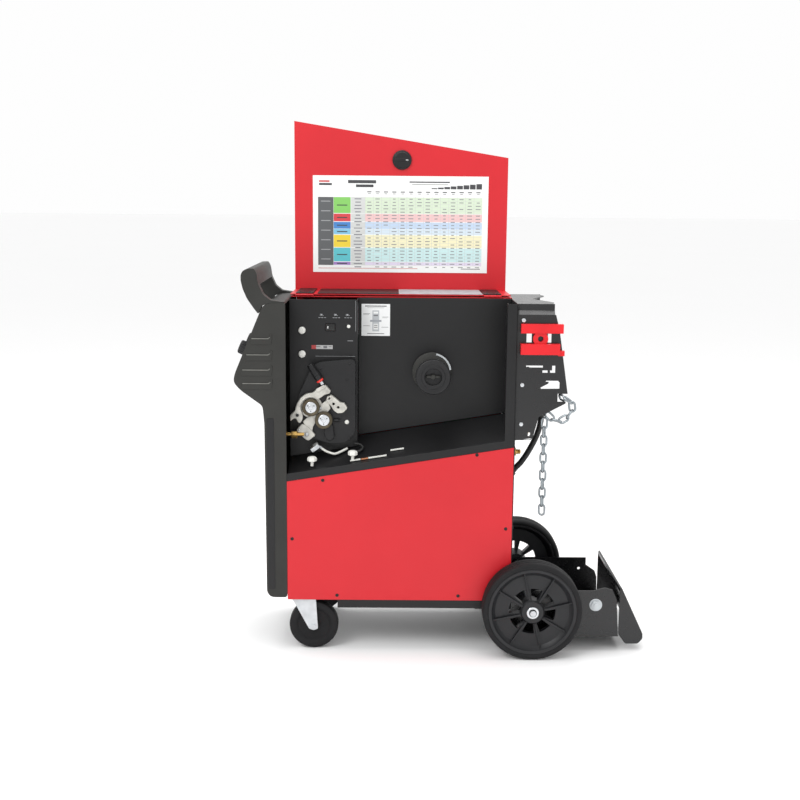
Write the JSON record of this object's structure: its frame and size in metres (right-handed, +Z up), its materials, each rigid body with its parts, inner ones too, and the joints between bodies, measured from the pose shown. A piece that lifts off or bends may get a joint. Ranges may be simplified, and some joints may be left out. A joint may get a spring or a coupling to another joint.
{
  "type": "mig welder on cart",
  "caption": "Wheeled MIG welder: steel cabinet with a lift-over door open on the wire feeder side, sloping control front, carrying handle and a tray and bracket for a gas cylinder.",
  "frame": {"origin": "middle of the footprint of the bounding box, at floor level", "axes": "+X from the sloping control front to the cylinder tray at the rear, +Y from the wire feeder side to the plain side, +Z up"},
  "size_m": [1.0518, 0.478, 1.359],
  "materials": {
    "red_paint": "gloss red powder coat",
    "black_paint": "satin black powder coat",
    "black_plastic": "moulded plastic with a fine grain",
    "dark_plastic": "smooth dark plastic",
    "rubber": "matt rubber",
    "tyre": "matt solid tyre",
    "zinc": "bright zinc plate",
    "cast": "die-cast, matt",
    "brass": "turned brass",
    "white_plastic": "white moulded plastic",
    "label": "printed film label",
    "core_iron": "varnished iron and copper windings",
    "board": "printed circuit board"
  },
  "bodies": {
    "cabinet": {"base_pan": "black_paint", "near_side_panel": "red_paint", "far_side_panel": "red_paint", "roof_panel": "red_paint", "rear_panel": "black_paint", "side_frame": "black_paint", "compartment_floor": "black_paint", "centre_panel": "black_paint", "drive_panel": "black_paint", "gear_case": "dark_plastic", "drive_frame": "cast", "gun_adapter": "brass", "gas_hose": "white_plastic", "polarity_screw": "white_plastic", "drive_motor": "core_iron", "spindle_shaft": "zinc", "front_bezel": "black_plastic", "work_terminal": "brass", "control_panel": "dark_plastic", "handle": "black_plastic", "rear_axle": "zinc", "cylinder_tray": "black_paint", "cylinder_ramp": "black_paint", "cylinder_bracket": "black_paint", "cable_hanger": "red_paint", "chain_loop": "zinc", "cord_gland": "dark_plastic", "power_cord": "rubber", "cord_coil": "rubber", "cord_tail": "rubber", "cord_plug": "rubber", "gas_inlet": "brass", "transformer": "core_iron", "circuit_board": "board", "fan_motor": "dark_plastic"},
    "door": {"door_panel": "red_paint", "door_chart": "label", "flap_seal": "rubber"},
    "latch": {"latch_knob": "dark_plastic"},
    "rear_wheel_near": {"tyre_near": "tyre", "wheel_near": "black_plastic"},
    "rear_wheel_far": {"tyre_far": "tyre", "wheel_far": "black_plastic"},
    "fork_near": {"caster_fork_near": "zinc"},
    "front_wheel_near": {"caster_wheel_near": "rubber"},
    "fork_far": {"caster_fork_far": "zinc"},
    "front_wheel_far": {"caster_wheel_far": "rubber"},
    "spool_hub": {"spindle_hub": "black_plastic", "retaining_collar": "black_plastic"},
    "drive_roll_body": {"drive_roll": "zinc"},
    "arm": {"pressure_arm": "cast"},
    "idle_roll_body": {"idle_roll": "zinc"},
    "tension": {"tension_knob": "dark_plastic"},
    "rocker": {"feeder_switch": "dark_plastic"},
    "mains_switch": {"power_switch": "dark_plastic"},
    "speed_knob": {"wire_speed_knob": "dark_plastic"},
    "volt_knob": {"voltage_knob": "dark_plastic"},
    "fan": {"fan_blades": "dark_plastic"},
    "loose_chain": {"chain_tail": "zinc"},
    "clamp_screw": {"gun_clamp_screw": "white_plastic"}
  },
  "joints": [
    {"name": "door_hinge", "type": "hinge", "parent": "cabinet", "child": "door", "pos_m": [-0.10907, -0.008, 0.908], "axis": [1, 0, 0], "range_deg": [0, 180]},
    {"name": "latch_turn", "type": "hinge", "parent": "door", "child": "latch", "pos_m": [-0.10807, 0.155, 1.259], "axis": [0, 1, 0], "range_deg": [0, 90]},
    {"name": "rear_wheel_near_spin", "type": "hinge", "parent": "cabinet", "child": "rear_wheel_near", "pos_m": [0.22993, -0.203, 0.127], "axis": [0, 1, 0], "continuous": true},
    {"name": "rear_wheel_far_spin", "type": "hinge", "parent": "cabinet", "child": "rear_wheel_far", "pos_m": [0.22993, 0.203, 0.127], "axis": [0, 1, 0], "continuous": true},
    {"name": "caster_near_swivel", "type": "hinge", "parent": "cabinet", "child": "fork_near", "pos_m": [-0.35507, -0.14, 0.145], "axis": [0, 0, 1], "continuous": true},
    {"name": "caster_near_spin", "type": "hinge", "parent": "fork_near", "child": "front_wheel_near", "pos_m": [-0.32907, -0.14, 0.0635], "axis": [0, 1, 0], "continuous": true},
    {"name": "caster_far_swivel", "type": "hinge", "parent": "cabinet", "child": "fork_far", "pos_m": [-0.35507, 0.14, 0.145], "axis": [0, 0, 1], "continuous": true},
    {"name": "caster_far_spin", "type": "hinge", "parent": "fork_far", "child": "front_wheel_far", "pos_m": [-0.32907, 0.14, 0.0635], "axis": [0, 1, 0], "continuous": true},
    {"name": "spool_spin", "type": "hinge", "parent": "cabinet", "child": "spool_hub", "pos_m": [-0.02607, -0.07, 0.711], "axis": [0, 1, 0], "continuous": true},
    {"name": "drive_spin", "type": "hinge", "parent": "cabinet", "child": "drive_roll_body", "pos_m": [-0.30407, -0.114, 0.598], "axis": [0, 1, 0], "continuous": true},
    {"name": "arm_lift", "type": "hinge", "parent": "cabinet", "child": "arm", "pos_m": [-0.37107, -0.111, 0.611], "axis": [0, -1, 0], "range_deg": [0, 16]},
    {"name": "idle_spin", "type": "hinge", "parent": "arm", "child": "idle_roll_body", "pos_m": [-0.33695, -0.114, 0.63088], "axis": [0, 1, 0], "continuous": true},
    {"name": "tension_turn", "type": "hinge", "parent": "arm", "child": "tension", "pos_m": [-0.30707, -0.115, 0.69], "axis": [-0.5501, 0, 0.8351], "continuous": true},
    {"name": "rocker_tilt", "type": "hinge", "parent": "cabinet", "child": "rocker", "pos_m": [-0.28907, -0.079, 0.832], "axis": [0, 0, 1], "range_deg": [-6, 6]},
    {"name": "mains_switch_tilt", "type": "hinge", "parent": "cabinet", "child": "mains_switch", "pos_m": [-0.50221, 0, 0.77489], "axis": [0, 1, 0], "range_deg": [-6, 6]},
    {"name": "speed_turn", "type": "hinge", "parent": "cabinet", "child": "speed_knob", "pos_m": [-0.50147, -0.082, 0.77458], "axis": [-0.9229, 0, 0.385], "range_deg": [-135, 135]},
    {"name": "voltage_turn", "type": "hinge", "parent": "cabinet", "child": "volt_knob", "pos_m": [-0.50147, 0.082, 0.77458], "axis": [-0.9229, 0, 0.385], "range_deg": [-135, 135]},
    {"name": "fan_spin", "type": "hinge", "parent": "cabinet", "child": "fan", "pos_m": [0.14793, 0, 0.24], "axis": [1, 0, 0], "continuous": true},
    {"name": "chain_swing", "type": "hinge", "parent": "cabinet", "child": "loose_chain", "pos_m": [0.25493, -0.15, 0.612], "axis": [0, 1, 0], "range_deg": [-30, 12]},
    {"name": "clamp_screw_turn", "type": "hinge", "parent": "cabinet", "child": "clamp_screw", "pos_m": [-0.33207, -0.15, 0.49], "axis": [0, 0, 1], "continuous": true}
  ],
  "couplings": [
    {"joint": "idle_spin", "follows": "drive_spin", "ratio": -1}
  ]
}
